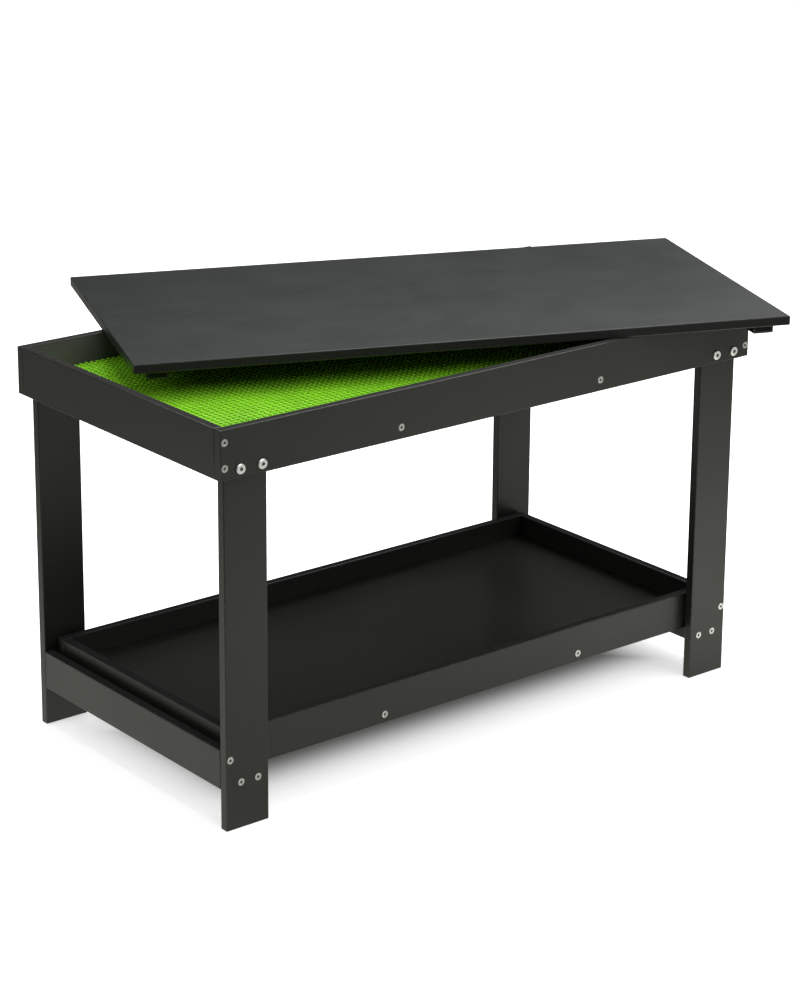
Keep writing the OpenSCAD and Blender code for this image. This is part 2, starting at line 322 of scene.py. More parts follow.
@dataclass(frozen=True)
class BlackPaint:
    """Black paint rolled sparingly on wood, so that a little grain comes through.

    Attributes:
        name: Name of the material.
        grain: Way that the grain runs.
        turn: Turn of the grain about the vertical in radians.
        colour: The paint's colour.
        greyer: Its colour where it clouds.
        rubbed: Its colour on rubbed edges.
        painted_light_inside: Its colour on the faces inside the rim, a lighter grey that is painted
            light in place of the light that falls on them.
        sanded: Its colour on the dull narrow faces.
        sanded_gloss: Roughness of the dull narrow faces.
        gloss_span: Least and greatest roughness elsewhere.
        gloss_level: Strength of its gloss.
        streak_share: Share of the grain in the roughness, of which the clouds have the rest.
        cloud_size: Size of a cloud in metres.
        scuff_size: Size of a scuff on an edge in metres.
        stipple_size: Size of the roller's dimples in metres.
        grain_depth: Depth of the grain in metres.
        stipple_depth: Depth of the roller's dimples in metres.
        slot: The record's slot.
    """

    name: str
    grain: Grain
    turn: float = 0.0
    colour: Colour = (0.0095, 0.0096, 0.0078)
    greyer: Colour = (0.0120, 0.0122, 0.0100)
    rubbed: Colour = (0.026, 0.026, 0.024)
    painted_light_inside: Colour = (0.062, 0.057, 0.060)
    sanded: Colour = (0.0060, 0.0055, 0.0050)
    sanded_gloss: float = 1.0
    gloss_span: Span = (0.37, 0.45)
    gloss_level: float = 0.42
    streak_share: float = 0.6
    cloud_size: float = 75.0 * MM
    scuff_size: float = 6.0 * MM
    stipple_size: float = 0.9 * MM
    grain_depth: float = 0.020 * MM
    stipple_depth: float = 0.012 * MM
    slot: Slot = Slot.PAINT

    def material(self) -> bpy.types.Material:
        """Makes the paint.

        Returns:
            The material.
        """
        bench = Bench(self.name)
        streaks = bench.noise(bench.place(self.grain.value, self.turn), detail=4.0, rough=0.62)
        clouds = bench.blots(self.cloud_size, detail=3.0)
        stipple = bench.blots(self.stipple_size, detail=1.0)
        scuffs = bench.blots(self.scuff_size, detail=4.0, rough=0.65)
        cloudy, streaky = bench.remap(clouds, MIDDLE_SPAN), bench.remap(streaks, WIDE_SPAN)
        coat = bench.blend(bench.calculate("MULTIPLY", cloudy, streaky), self.colour, self.greyer)
        # Painted light: the faces inside the rim get a lighter grey in place of the light that falls on
        # them.
        coat = bench.blend(bench.attribute("inside"), coat, self.painted_light_inside)
        coat = bench.blend(bench.attribute("dull"), coat, self.sanded)
        worn = bench.calculate("MULTIPLY", bench.attribute("eased"), bench.remap(scuffs, HIGH_SPAN))
        bench.join(bench.blend(worn, coat, self.rubbed), bench.shader.inputs["Base Color"])
        grained = bench.calculate("MULTIPLY", streaks, self.streak_share)
        clouded = bench.calculate("MULTIPLY", clouds, 1.0 - self.streak_share)
        rolled = bench.remap(bench.calculate("ADD", grained, clouded), MIDDLE_SPAN, self.gloss_span)
        sanded = bench.calculate("MULTIPLY", bench.attribute("dull"), self.sanded_gloss)
        bench.join(bench.calculate("MAXIMUM", rolled, sanded), bench.shader.inputs["Roughness"])
        bench.shader.inputs["Specular IOR Level"].default_value = self.gloss_level
        strokes = bench.relief(streaks, self.grain_depth)
        bench.join(bench.relief(stipple, self.stipple_depth, strokes), bench.shader.inputs["Normal"])
        return bench.material


@dataclass(frozen=True)
class PanelLacquer:
    """Smooth black lacquer of the thin floor panels, glossier than the boards.

    Attributes:
        name: Name of the material.
        colour: The lacquer's colour.
        greyer: Its colour where it clouds.
        gloss_span: Least and greatest roughness.
        cloud_size: Size of a cloud in metres.
        wave_size: Size of a wave of its skin in metres.
        wave_depth: Depth of these waves in metres.
        slot: The record's slot.
    """

    name: str
    colour: Colour = (0.0078, 0.0096, 0.0045)
    greyer: Colour = (0.0090, 0.0110, 0.0056)
    gloss_span: Span = (0.28, 0.31)
    cloud_size: float = 120.0 * MM
    wave_size: float = 35.0 * MM
    wave_depth: float = 0.020 * MM
    slot: Slot = Slot.PAINT

    def material(self) -> bpy.types.Material:
        """Makes the lacquer.

        Returns:
            The material.
        """
        bench = Bench(self.name)
        waves = bench.blots(self.wave_size, detail=0.0)
        clouds = bench.blots(self.cloud_size, detail=1.0)
        tone = bench.blend(bench.remap(clouds, WIDE_SPAN), self.colour, self.greyer)
        bench.join(tone, bench.shader.inputs["Base Color"])
        bench.join(bench.remap(clouds, WIDE_SPAN, self.gloss_span), bench.shader.inputs["Roughness"])
        bench.join(bench.relief(waves, self.wave_depth), bench.shader.inputs["Normal"])
        return bench.material


@dataclass(frozen=True)
class StudPlastic:
    """Bright green moulded plastic with a soft gloss.

    Attributes:
        name: Name of the material.
        colour: The plastic's colour.
        deeper: Its colour where it clouds.
        gloss_span: Least and greatest roughness.
        cloud_size: Size of a cloud in metres.
        skin_size: Size of the dimples of its skin in metres.
        skin_depth: Depth of these dimples in metres.
        slot: The record's slot.
    """

    name: str = "stud_plastic"
    colour: Colour = (0.226, 0.55, 0.016)
    deeper: Colour = (0.188, 0.48, 0.014)
    gloss_span: Span = (0.28, 0.36)
    cloud_size: float = 50.0 * MM
    skin_size: float = 1.1 * MM
    skin_depth: float = 0.006 * MM
    slot: Slot = Slot.PLASTIC

    def material(self) -> bpy.types.Material:
        """Makes the plastic.

        Returns:
            The material.
        """
        bench = Bench(self.name)
        clouds = bench.blots(self.cloud_size, detail=3.0)
        skin = bench.blots(self.skin_size, detail=2.0)
        tone = bench.blend(bench.remap(clouds, WIDE_SPAN), self.colour, self.deeper)
        bench.join(tone, bench.shader.inputs["Base Color"])
        bench.join(bench.remap(skin, WIDE_SPAN, self.gloss_span), bench.shader.inputs["Roughness"])
        bench.join(bench.relief(skin, self.skin_depth), bench.shader.inputs["Normal"])
        return bench.material


@dataclass(frozen=True)
class ZincPlating:
    """Bright zinc plating with fine rolled scratches.

    Attributes:
        name: Name of the material.
        colour: The plating's colour.
        duller: Its colour where it has bloomed.
        darker_socket: Its darker colour inside a socket.
        gloss_span: Least and greatest roughness.
        bloom_size: Size of a bloomed patch in metres.
        scratch_sizes: Size of a scratch along X, Y and Z in metres.
        scratch_depth: Depth of the scratches in metres.
        slot: The record's slot.
    """

    name: str
    colour: Colour = (0.90, 0.91, 0.91)
    duller: Colour = (0.74, 0.75, 0.75)
    darker_socket: Colour = (0.30, 0.31, 0.31)
    gloss_span: Span = (0.28, 0.38)
    bloom_size: float = 1.8 * MM
    scratch_sizes: Sizes = (3.0 * MM, 3.0 * MM, 0.25 * MM)
    scratch_depth: float = 0.008 * MM
    slot: Slot = Slot.ZINC

    def material(self) -> bpy.types.Material:
        """Makes the plating.

        Returns:
            The material.
        """
        bench = Bench(self.name)
        bench.shader.inputs["Metallic"].default_value = 1.0
        bloom = bench.blots(self.bloom_size, detail=4.0, rough=0.6)
        scratches = bench.noise(bench.place(self.scratch_sizes), detail=2.0)
        plated = bench.blend(bench.remap(bloom, NARROW_SPAN), self.colour, self.duller)
        # The faces inside a socket get a darker colour.
        tone = bench.blend(bench.attribute("sunk"), plated, self.darker_socket)
        bench.join(tone, bench.shader.inputs["Base Color"])
        bench.join(bench.remap(bloom, WIDE_SPAN, self.gloss_span), bench.shader.inputs["Roughness"])
        bench.join(bench.relief(scratches, self.scratch_depth), bench.shader.inputs["Normal"])
        return bench.material


# Colours of the screws' duller plating, clean and bloomed
DULL_ZINC: tuple[Colour, Colour] = ((0.60, 0.61, 0.61), (0.34, 0.345, 0.345))


@dataclass(frozen=True)
class Rounding:
    """How the edges of a kind of piece are rounded.

    Attributes:
        width: Width that is taken off on both sides of an edge.
        segments: Number of strips across a rounded edge.
        bluntest: Least turn between the faces of an edge that is rounded.
        sharpest: Greatest turn between them.
        shortest: Length of the shortest edge that is rounded.
        strip: Faces narrower than this belong to the rounded edges.
    """

    width: float
    segments: int
    bluntest: float
    sharpest: float
    shortest: float
    strip: float


BOARD_EDGES = Rounding(
    width=0.5 * MM, segments=3, bluntest=math.radians(35), sharpest=math.radians(55),
    shortest=4 * MM, strip=1.5 * MM,
)
CLEAT_EDGES = Rounding(
    width=1.1 * MM, segments=4, bluntest=math.radians(35), sharpest=math.radians(55),
    shortest=4 * MM, strip=3.0 * MM,
)
SHEET_EDGES = Rounding(
    width=0.3 * MM, segments=2, bluntest=math.radians(80), sharpest=math.radians(100),
    shortest=1 * MM, strip=0.8 * MM,
)
METAL_EDGES = Rounding(
    width=0.14 * MM, segments=2, bluntest=math.radians(30), sharpest=math.radians(100),
    shortest=0.2 * MM, strip=0.4 * MM,
)


def link_piece(name: str, form: bmesh.types.BMesh) -> bpy.types.Object:
    """Turns a bmesh into an object at the origin.

    Args:
        name: Name of the piece.
        form: Its shape, which is freed.

    Returns:
        The object.
    """
    mesh = bpy.data.meshes.new(name)
    form.to_mesh(mesh)
    form.free()
    piece = bpy.data.objects.new(name, mesh)
    bpy.context.scene.collection.objects.link(piece)
    return piece


def strip_width(face: bmesh.types.BMFace) -> float:
    """Width of a face if it is a long strip."""
    return 2.0 * face.calc_area() / face.calc_perimeter()


def is_oblique(normal: Vector, turn: float) -> bool:
    """Tells whether a face looks along none of the axes of its piece.

    Args:
        normal: The face's normal.
        turn: Turn of the piece about the vertical in radians.

    Returns:
        True for a face that looks along none of them.
    """
    local = Matrix.Rotation(-turn, 3, "Z") @ normal
    return max(abs(part) for part in local) < ALONG_AXIS


def rounded_form(node: str, rounding: Rounding, turn: float) -> bmesh.types.BMesh:
    """Copies a node of model.glb as one clean shape and rounds its edges.

    Args:
        node: Name of the node.
        rounding: Which edges are rounded, and how far.
        turn: Turn of the piece about the vertical in radians.

    Returns:
        The shape, with rounded strips marked in the attribute "eased" and narrow tops in "dull".
    """
    form = bmesh.new()
    form.from_mesh(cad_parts[node].data)
    bmesh.ops.remove_doubles(form, verts=form.verts, dist=MERGE_DISTANCE)
    bmesh.ops.dissolve_limit(form, angle_limit=FLAT_ANGLE, verts=form.verts, edges=form.edges)
    chosen = [
        edge for edge in form.edges
        if len(edge.link_faces) == 2
        and rounding.bluntest < edge.calc_face_angle() < rounding.sharpest
        and edge.calc_length() > rounding.shortest
    ]
    bmesh.ops.bevel(
        form, geom=chosen, offset=rounding.width, offset_type="OFFSET", affect="EDGES",
        segments=rounding.segments, profile=0.5, material=-1, clamp_overlap=True,
    )
    eased = form.faces.layers.float.new("eased")
    dull = form.faces.layers.float.new("dull")
    for face in form.faces:
        if strip_width(face) < rounding.strip and is_oblique(face.normal, turn):
            face[eased] = 1.0
            face.smooth = True
        elif face.normal.z > ALONG_AXIS and strip_width(face) < NARROW_SIDE:
            face[dull] = 1.0
    return form


def mark_inside(form: bmesh.types.BMesh, middle: Vector) -> None:
    """Marks the faces that look across the play surface in the attribute "inside", where the paint gets
    painted light.

    Args:
        form: A board of the rim.
        middle: Middle of the play surface.
    """
    inside = form.faces.layers.float.new("inside")
    for face in form.faces:
        inward = (middle - face.calc_center_median()).normalized()
        sideways = abs(face.normal.z) < SIDEWAYS_RISE
        if sideways and face.normal.dot(inward) > 0.0 and strip_width(face) > NARROW_SIDE:
            face[inside] = 1.0


def dull_sides(form: bmesh.types.BMesh, turn: float) -> None:
    """Marks the narrow front and rear faces in the attribute "dull", beside the tops.

    Args:
        form: The piece's shape, which has the attribute.
        turn: Turn of the piece about the vertical in radians.
    """
    dull = form.faces.layers.float["dull"]
    for face in form.faces:
        local = Matrix.Rotation(-turn, 3, "Z") @ face.normal
        if abs(local.y) > ALONG_AXIS and strip_width(face) < NARROW_SIDE:
            face[dull] = 1.0


def islands(form: bmesh.types.BMesh) -> list[list[bmesh.types.BMVert]]:
    """Splits a shape into the parts that hang together.

    Args:
        form: The shape.

    Returns:
        The corners of each part.
    """
    left = set(form.verts)
    found = []
    while left:
        queue = [left.pop()]
        part = []
        while queue:
            vert = queue.pop()
            part.append(vert)
            for edge in vert.link_edges:
                other = edge.other_vert(vert)
                if other in left:
                    left.remove(other)
                    queue.append(other)
        found.append(part)
    return found


def axis_distance(vert: bmesh.types.BMVert, middle: Vector, along: int) -> float:
    """Distance of a corner from an axis.

    Args:
        vert: The corner.
        middle: A point of the axis.
        along: Which of X, Y and Z the axis runs along, from 0 to 2.

    Returns:
        The distance in metres.
    """
    offset = vert.co - middle
    offset[along] = 0.0
    return offset.length


def mark_sockets(form: bmesh.types.BMesh, radius: float) -> None:
    """Marks the insides of the fasteners' sockets in the attribute "sunk".

    Args:
        form: A set of fasteners, each longest along its own axis.
        radius: Reach of a socket from that axis in metres.
    """
    sunk = form.faces.layers.float.new("sunk")
    for verts in islands(form):
        low = Vector([min(vert.co[axis] for vert in verts) for axis in range(3)])
        high = Vector([max(vert.co[axis] for vert in verts) for axis in range(3)])
        middle, size = (low + high) / 2, high - low
        along = max(range(3), key=lambda axis: size[axis])
        for face in {face for vert in verts for face in vert.link_faces}:
            if all(axis_distance(vert, middle, along) < radius for vert in face.verts):
                face[sunk] = 1.0


def dress(
    piece: bpy.types.Object, node: str, body: Body, finish: Finish, material: bpy.types.Material
) -> None:
    """Gives a piece its finish and puts it in the place of its node.

    Args:
        piece: The piece.
        node: The node that it stands for.
        body: The body that it rides on.
        finish: Its finish, whose name goes into the log.
        material: The finish's material.
    """
    piece.data.materials.clear()
    piece.data.materials.append(material)
    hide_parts(node)
    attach(piece, body.value)
    log.info("%s: %d faces in %s", piece.name, len(piece.data.polygons), finish.name)


def corners(kind: str) -> tuple[str, ...]:
    """Names of the four nodes of a kind, one near each corner."""
    return tuple(f"{kind}_{row}_{end}" for row in ROWS for end in ENDS)


@dataclass
class Joinery:
    """A set of nodes of one kind, which share a finish and their rounded edges.

    Attributes:
        nodes: The nodes.
        finish: Their finish.
        rounding: How their edges are rounded.
        body: The body that they ride on.
        turn: Turn of the pieces about the vertical in radians.
        socket: Reach of a fastener's socket from its axis in metres, 0 for none.
        surrounds: Middle of the play surface, for the boards round it, whose inner faces get painted
            light.
        sanded: Whether the narrow front and rear faces are dull too.
    """

    nodes: tuple[str, ...]
    finish: Finish
    rounding: Rounding = BOARD_EDGES
    body: Body = Body.TABLE
    turn: float = 0.0
    socket: float = 0.0
    surrounds: Vector | None = None
    sanded: bool = False

    def build(self) -> list[bpy.types.Object]:
        """Builds and dresses every piece of the set.

        Returns:
            The pieces.
        """
        material = self.finish.material()
        pieces = []
        for node in self.nodes:
            form = rounded_form(node, self.rounding, self.turn)
            if self.socket > 0.0:
                mark_sockets(form, self.socket)
            if self.surrounds is not None:
                mark_inside(form, self.surrounds)
            if self.sanded:
                dull_sides(form, self.turn)
            piece = link_piece(f"{node}_piece", form)
            dress(piece, node, self.body, self.finish, material)
            pieces.append(piece)
        return pieces


@dataclass
class StudPlates:
    """The green plates, each a thin slab with a square field of round studs.

    Attributes:
        nodes: The nodes.
        finish: Their finish.
        studs: Number of studs along a side.
        pitch: Distance from stud to stud.
        stud_width: Diameter of a stud.
        stud_height: Height of a stud above the slab.
        stud_lip: Width of the rounding round its top.
        stud_root: Depth to which it stands in the slab.
        stud_sides: Number of its sides.
        slab_edge: Width of the rounding of the slab's edges.
        segments: Number of strips across these roundings.
    """

    nodes: tuple[str, ...]
    finish: Finish = StudPlastic()
    studs: int = 25
    pitch: float = 8.0 * MM
    stud_width: float = 4.9 * MM
    stud_height: float = 1.8 * MM
    stud_lip: float = 0.4 * MM
    stud_root: float = 0.1 * MM
    stud_sides: int = 16
    slab_edge: float = 0.25 * MM
    segments: int = 2

    def stud(self, form: bmesh.types.BMesh, x: float, y: float, top: float) -> None:
        """Adds one stud with a rounded lip.

        Args:
            form: The plate's shape.
            x: Place of its axis along X.
            y: Place of its axis along Y.
            top: Height of its top.
        """
        radius, depth = self.stud_width / 2, self.stud_height + self.stud_root
        bmesh.ops.create_cone(
            form, cap_ends=True, segments=self.stud_sides, radius1=radius, radius2=radius, depth=depth,
            matrix=Matrix.Translation((x, y, top - depth / 2)),
        )
        lowest = top - self.stud_root
        rim = [edge for edge in form.edges if all(vert.co.z > lowest for vert in edge.verts)]
        lip = bmesh.ops.bevel(
            form, geom=rim, offset=self.stud_lip, offset_type="OFFSET", affect="EDGES",
            segments=self.segments, profile=0.5, material=-1,
        )
        for face in form.faces:
            face.smooth = abs(face.normal.z) < LEVEL_RISE
        for face in lip["faces"]:
            face.smooth = True

    def spread(self, form: bmesh.types.BMesh, step: Vector) -> None:
        """Repeats all that a shape holds, at equal steps.

        Args:
            form: The shape.
            step: From one copy to the next.
        """
        first = form.verts[:] + form.edges[:] + form.faces[:]
        for place in range(1, self.studs):
            copied = bmesh.ops.duplicate(form, geom=first)["geom"]
            verts = [part for part in copied if isinstance(part, bmesh.types.BMVert)]
            bmesh.ops.translate(form, verts=verts, vec=step * place)

    def plate(self, node: str) -> bpy.types.Object:
        """Builds one plate.

        Args:
            node: The node that it stands for.

        Returns:
            The plate.
        """
        low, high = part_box(node)
        middle = (low + high) / 2
        first = -(self.studs - 1) * self.pitch / 2
        form = bmesh.new()
        self.stud(form, middle.x + first, middle.y + first, high.z)
        self.spread(form, Vector((self.pitch, 0.0, 0.0)))
        self.spread(form, Vector((0.0, self.pitch, 0.0)))
        slab_top = high.z - self.stud_height
        size = Vector((high.x - low.x, high.y - low.y, slab_top - low.z))
        place = Matrix.Translation((middle.x, middle.y, (slab_top + low.z) / 2))
        stretch = Matrix.Diagonal((*size, 1.0))
        slab = bmesh.ops.create_cube(form, size=1.0, matrix=place @ stretch)["verts"]
        edges = list({edge for vert in slab for edge in vert.link_edges})
        bmesh.ops.bevel(
            form, geom=edges, offset=self.slab_edge, offset_type="OFFSET", affect="EDGES",
            segments=self.segments, profile=0.5, material=-1,
        )
        return link_piece(f"{node}_piece", form)

    def build(self) -> list[bpy.types.Object]:
        """Builds and dresses the plates.

        Returns:
            The plates.
        """
        material = self.finish.material()
        pieces = []
        for node in self.nodes:
            piece = self.plate(node)
            dress(piece, node, Body.TABLE, self.finish, material)
            pieces.append(piece)
        return pieces


@dataclass
class TableTop:
    """The boards round the play surface, its panel and battens, and the studded plates.

    Attributes:
        plates_long: Number of plates in each row.
    """

    plates_long: int = 4

    def build(self) -> list[bpy.types.Object]:
        """Builds the top.

        Returns:
            Its pieces.
        """
        places = range(1, self.plates_long + 1)
        plates = tuple(f"stud_plate_{row}_{place}" for row in ROWS for place in places)
        long_boards = tuple(f"{row}_apron" for row in ROWS)
        short_boards = tuple(f"{end}_apron" for end in ENDS)
        battens = tuple(f"play_batten_{end}" for end in ENDS)
        low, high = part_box("play_panel")
        middle = (low + high) / 2
        sets = (
            Joinery(long_boards, BlackPaint("apron_paint_long", Grain.LENGTHWAYS), surrounds=middle),
            Joinery(short_boards, BlackPaint("apron_paint_short", Grain.CROSSWAYS), surrounds=middle),
            Joinery(battens, BlackPaint("batten_paint", Grain.CROSSWAYS)),
            Joinery(("play_panel",), PanelLacquer("play_panel_lacquer"), SHEET_EDGES),
            StudPlates(plates),
        )
        return [piece for group in sets for piece in group.build()]


@dataclass
class Legs:
    """The four upright boards."""

    def build(self) -> list[bpy.types.Object]:
        """Builds the legs.

        Returns:
            The legs.
        """
        return Joinery(corners("leg"), BlackPaint("leg_paint", Grain.UPRIGHT)).build()


@dataclass
class Shelf:
    """The rails and boards between the legs, and the tray that stands on them."""

    def build(self) -> list[bpy.types.Object]:
        """Builds the shelf.

        Returns:
            Its pieces.
        """
        short_kinds = ("end_rail", "cross_board", "shelf_end", "shelf_batten")
        short_boards = tuple(f"{kind}_{end}" for kind in short_kinds for end in ENDS)
        long_boards = tuple(f"shelf_rail_{row}" for row in ROWS)
        sets = (
            Joinery(short_boards, BlackPaint("shelf_paint_short", Grain.CROSSWAYS)),
            Joinery(long_boards, BlackPaint("shelf_paint_long", Grain.LENGTHWAYS)),
            Joinery(("shelf_panel",), PanelLacquer("shelf_panel_lacquer"), SHEET_EDGES),
        )
        return [piece for group in sets for piece in group.build()]


@dataclass
class Hardware:
    """The screws, bolts and inserts that hold the table together.

    Attributes:
        screws: The nodes with screws.
        screw_socket: Reach of a screw's socket from its axis.
        bolt_socket: Reach of a bolt's socket from its axis.
    """

    screws: tuple[str, ...] = (
        "apron_corner_screws", "play_batten_screws", "end_rail_screws", "cross_board_screws",
        "shelf_corner_screws", "shelf_batten_screws", "shelf_fixing_screws",
    )
    screw_socket: float = 1.8 * MM
    bolt_socket: float = 2.5 * MM

    def build(self) -> list[bpy.types.Object]:
        """Builds the fasteners.

        Returns:
            The sets of fasteners.
        """
        screw_zinc = ZincPlating("screw_zinc", *DULL_ZINC)
        sets = (
            Joinery(self.screws, screw_zinc, METAL_EDGES, socket=self.screw_socket),
            Joinery(("leg_bolts",), ZincPlating("bolt_zinc"), METAL_EDGES, socket=self.bolt_socket),
            Joinery(("leg_inserts",), ZincPlating("insert_zinc"), METAL_EDGES),
        )
        return [piece for group in sets for piece in group.build()]


@dataclass
class Lid:
    """The loose lid, which lies askew, with its four cleats and their screws.

    Attributes:
        turn: Turn of the lid about the vertical in radians.
        tones: Colours of its paint, plain and clouded.
    """

    turn: float = math.radians(-22.3)
    tones: tuple[Colour, Colour] = ((0.0083, 0.0116, 0.0098), (0.0106, 0.0141, 0.0120))

    def build(self) -> list[bpy.types.Object]:
        """Builds the lid.

        Returns:
            Its pieces.
        """
        board_paint = BlackPaint("lid_paint", Grain.LENGTHWAYS, self.turn, *self.tones)
        cleat_paint = BlackPaint("cleat_paint", Grain.LENGTHWAYS, self.turn)
        zinc = ZincPlating("cleat_screw_zinc", *DULL_ZINC)
        sets = (
            Joinery(("lid_board",), board_paint, BOARD_EDGES, Body.LID, self.turn, sanded=True),
            Joinery(corners("cleat"), cleat_paint, CLEAT_EDGES, Body.LID, self.turn, sanded=True),
            Joinery(("cleat_screws",), zinc, METAL_EDGES, Body.LID, self.turn, Hardware.screw_socket),
        )
        return [piece for group in sets for piece in group.build()]


@dataclass
class Viewpoint:
    """The camera, as the photograph was taken.

    Attributes:
        place: Where it stands, in metres.
        azimuth: Turn about the vertical in degrees, 0 looking along +Y.
        elevation: Angle above the horizon in degrees.
        roll: Tilt about its own axis in degrees.
        focal_pixels: Focal length in pixels of the picture.
        picture_height: Height of the picture in pixels.
        rise: Part of the picture's height by which its middle lies below the camera's axis.
        sensor: Size of the sensor along the picture's height in millimetres.
        near_clip: Distance at which the camera starts to see, in metres.
        far_clip: Distance at which it stops, in metres.
    """

    place: Sizes = (-2.1867, -2.6916, 1.4407)
    azimuth: float = -38.907
    elevation: float = 16.184
    roll: float = 0.431
    focal_pixels: float = 2828.0
    picture_height: float = 1000.0
    rise: float = 0.15
    sensor: float = 36.0
    near_clip: float = 0.05
    far_clip: float = 60.0

    def build(self) -> None:
        """Makes the scene's camera."""
        data = bpy.data.cameras.new("camera")
        data.sensor_width = self.sensor
        data.lens = self.focal_pixels / self.picture_height * self.sensor
        data.shift_y = -self.rise
        data.clip_start, data.clip_end = self.near_clip, self.far_clip
        camera = bpy.data.objects.new("camera", data)
        azimuth, elevation = math.radians(self.azimuth), math.radians(self.elevation)
        level, climb = math.cos(elevation), math.sin(elevation)
        back = Vector((math.sin(azimuth) * level, -math.cos(azimuth) * level, climb))
        camera.rotation_mode = "QUATERNION"
        upright = (-back).to_track_quat("-Z", "Y")
        camera.rotation_quaternion = upright @ Quaternion((0.0, 0.0, 1.0), math.radians(self.roll))
        camera.location = self.place
        bpy.context.scene.collection.objects.link(camera)
        bpy.context.scene.camera = camera


@dataclass(frozen=True)
class Softbox:
    """A rectangular lamp that points at a place on the table.

    Attributes:
        name: Name of the lamp.
        place: Where it hangs, in metres.
        width: Its width in metres.
        height: Its height in metres.
        power: Its power in watts.
        aim: The place that it points at, in metres.
    """

    name: str
    place: Sizes
    width: float
    height: float
    power: float
    aim: Sizes = (0.0, 0.0, 0.3)

    def build(self) -> None:
        """Makes the lamp."""
        data = bpy.data.lights.new(self.name, "AREA")
        data.shape = "RECTANGLE"
        data.size, data.size_y = self.width, self.height
        data.energy = self.power
        lamp = bpy.data.objects.new(self.name, data)
        lamp.location = self.place
        lamp.rotation_mode = "QUATERNION"
        lamp.rotation_quaternion = (Vector(self.aim) - Vector(self.place)).to_track_quat("-Z", "Y")
        bpy.context.scene.collection.objects.link(lamp)


@dataclass(frozen=True)
class Glow:
    """A brighter patch of the floor, which shows only in mirrored rays.

    Attributes:
        x: Place of its middle along X in metres.
        y: Place of its middle along Y in metres.
        reach: Its radius in metres.
        strength: Its emission at the middle.
    """

    x: float
    y: float
    reach: float
    strength: float


